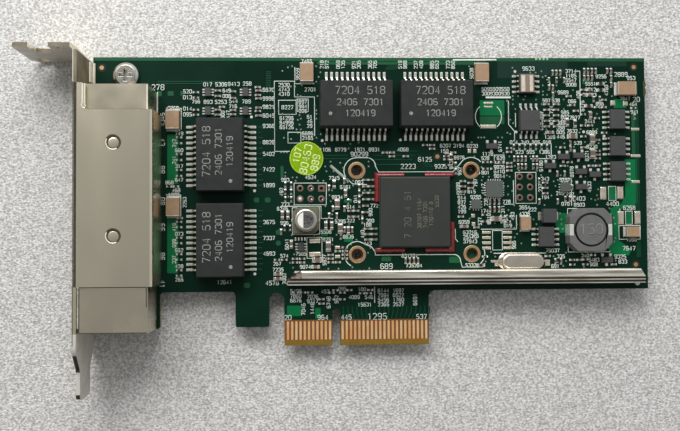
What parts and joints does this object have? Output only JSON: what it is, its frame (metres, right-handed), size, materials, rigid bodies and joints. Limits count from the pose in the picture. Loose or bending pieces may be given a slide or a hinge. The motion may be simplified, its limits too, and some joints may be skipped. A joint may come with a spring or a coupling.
{
  "type": "network interface card",
  "caption": "Low-profile server network card: green circuit board with edge contacts, steel bracket, ganged network jack, line transformers and a bare controller chip.",
  "frame": {"origin": "card-edge datum: middle of the key notch at the lower end of the contact tongue, on the solder face of the board", "axes": "+X along the board away from the bracket, +Y from the slot towards the upper board edge, +Z out of the component face"},
  "size_m": [0.1482, 0.0801, 0.0184],
  "materials": {
    "board": "epoxy glass board with glossy dark green solder mask",
    "gold": "hard gold plate over nickel",
    "bracket_plate": "nickel-plated steel sheet, satin",
    "screw_steel": "zinc-plated steel",
    "shield_plate": "nickel-plated brass sheet, satin",
    "jack_plastic": "black moulded thermoplastic",
    "contact_wire": "gold-plated phosphor bronze",
    "light_lens": "clear diffusing light pipe",
    "transformer_epoxy": "dark grey moulded epoxy",
    "tinned_lead": "tin-plated copper alloy",
    "laminate": "package laminate",
    "mould_compound": "dark grey moulding compound",
    "bond_bead": "cured red bonding adhesive",
    "bar_tin": "tin-plated steel, mottled by solder",
    "ferrite": "grey ferrite",
    "copper_wire": "enamelled copper wire",
    "can_aluminium": "drawn aluminium can",
    "can_base_plastic": "black moulded base",
    "crystal_case": "nickel-plated steel can",
    "foil": "creased metal foil label",
    "capacitor_ceramic": "fired tan ceramic with tinned ends",
    "resistor_body": "black glazed resistor with tinned ends",
    "sticker_paper": "lime green paper sticker"
  },
  "bodies": {
    "root": {"circuit_board": "board", "edge_contacts_component_side": "gold", "edge_contacts_solder_side": "gold", "bracket": "bracket_plate", "bracket_screw": "screw_steel", "jack_shield": "shield_plate", "jack_housing": "jack_plastic", "port_wires_1": "contact_wire", "port_wires_2": "contact_wire", "port_wires_3": "contact_wire", "port_wires_4": "contact_wire", "port_lights": "light_lens", "lan_transformer_1": "transformer_epoxy", "lan_transformer_2": "transformer_epoxy", "lan_transformer_3": "transformer_epoxy", "lan_transformer_4": "transformer_epoxy", "lan_transformer_leads_1": "tinned_lead", "lan_transformer_leads_2": "tinned_lead", "lan_transformer_leads_3": "tinned_lead", "lan_transformer_leads_4": "tinned_lead", "flash_memory_leads": "tinned_lead", "labelled_memory_leads": "tinned_lead", "power_switch_leads": "tinned_lead", "regulator_leads": "tinned_lead", "transistor_leads": "tinned_lead", "protection_array_leads": "tinned_lead", "power_diode_tabs": "tinned_lead", "electrolytic_leads": "tinned_lead", "crystal_leads": "tinned_lead", "inductor_terminals": "tinned_lead", "controller_solder_balls": "tinned_lead", "controller_substrate": "laminate", "controller_mould_cap": "mould_compound", "flash_memory": "mould_compound", "labelled_memory": "mould_compound", "power_switches": "mould_compound", "regulator": "mould_compound", "power_diode": "mould_compound", "transistors": "mould_compound", "protection_arrays": "mould_compound", "flat_chips": "mould_compound", "controller_corner_beads": "bond_bead", "stiffener_bar": "bar_tin", "inductor_ferrite": "ferrite", "inductor_core": "ferrite", "inductor_winding": "copper_wire", "electrolytic_can": "can_aluminium", "electrolytic_base": "can_base_plastic", "crystal_can": "crystal_case", "foil_label": "foil", "large_capacitors": "capacitor_ceramic", "wide_capacitors": "capacitor_ceramic", "medium_capacitors": "capacitor_ceramic", "small_capacitors": "capacitor_ceramic", "tiny_capacitors": "capacitor_ceramic", "small_resistors": "resistor_body", "tiny_resistors": "resistor_body", "inspection_sticker": "sticker_paper"}
  },
  "joints": []
}
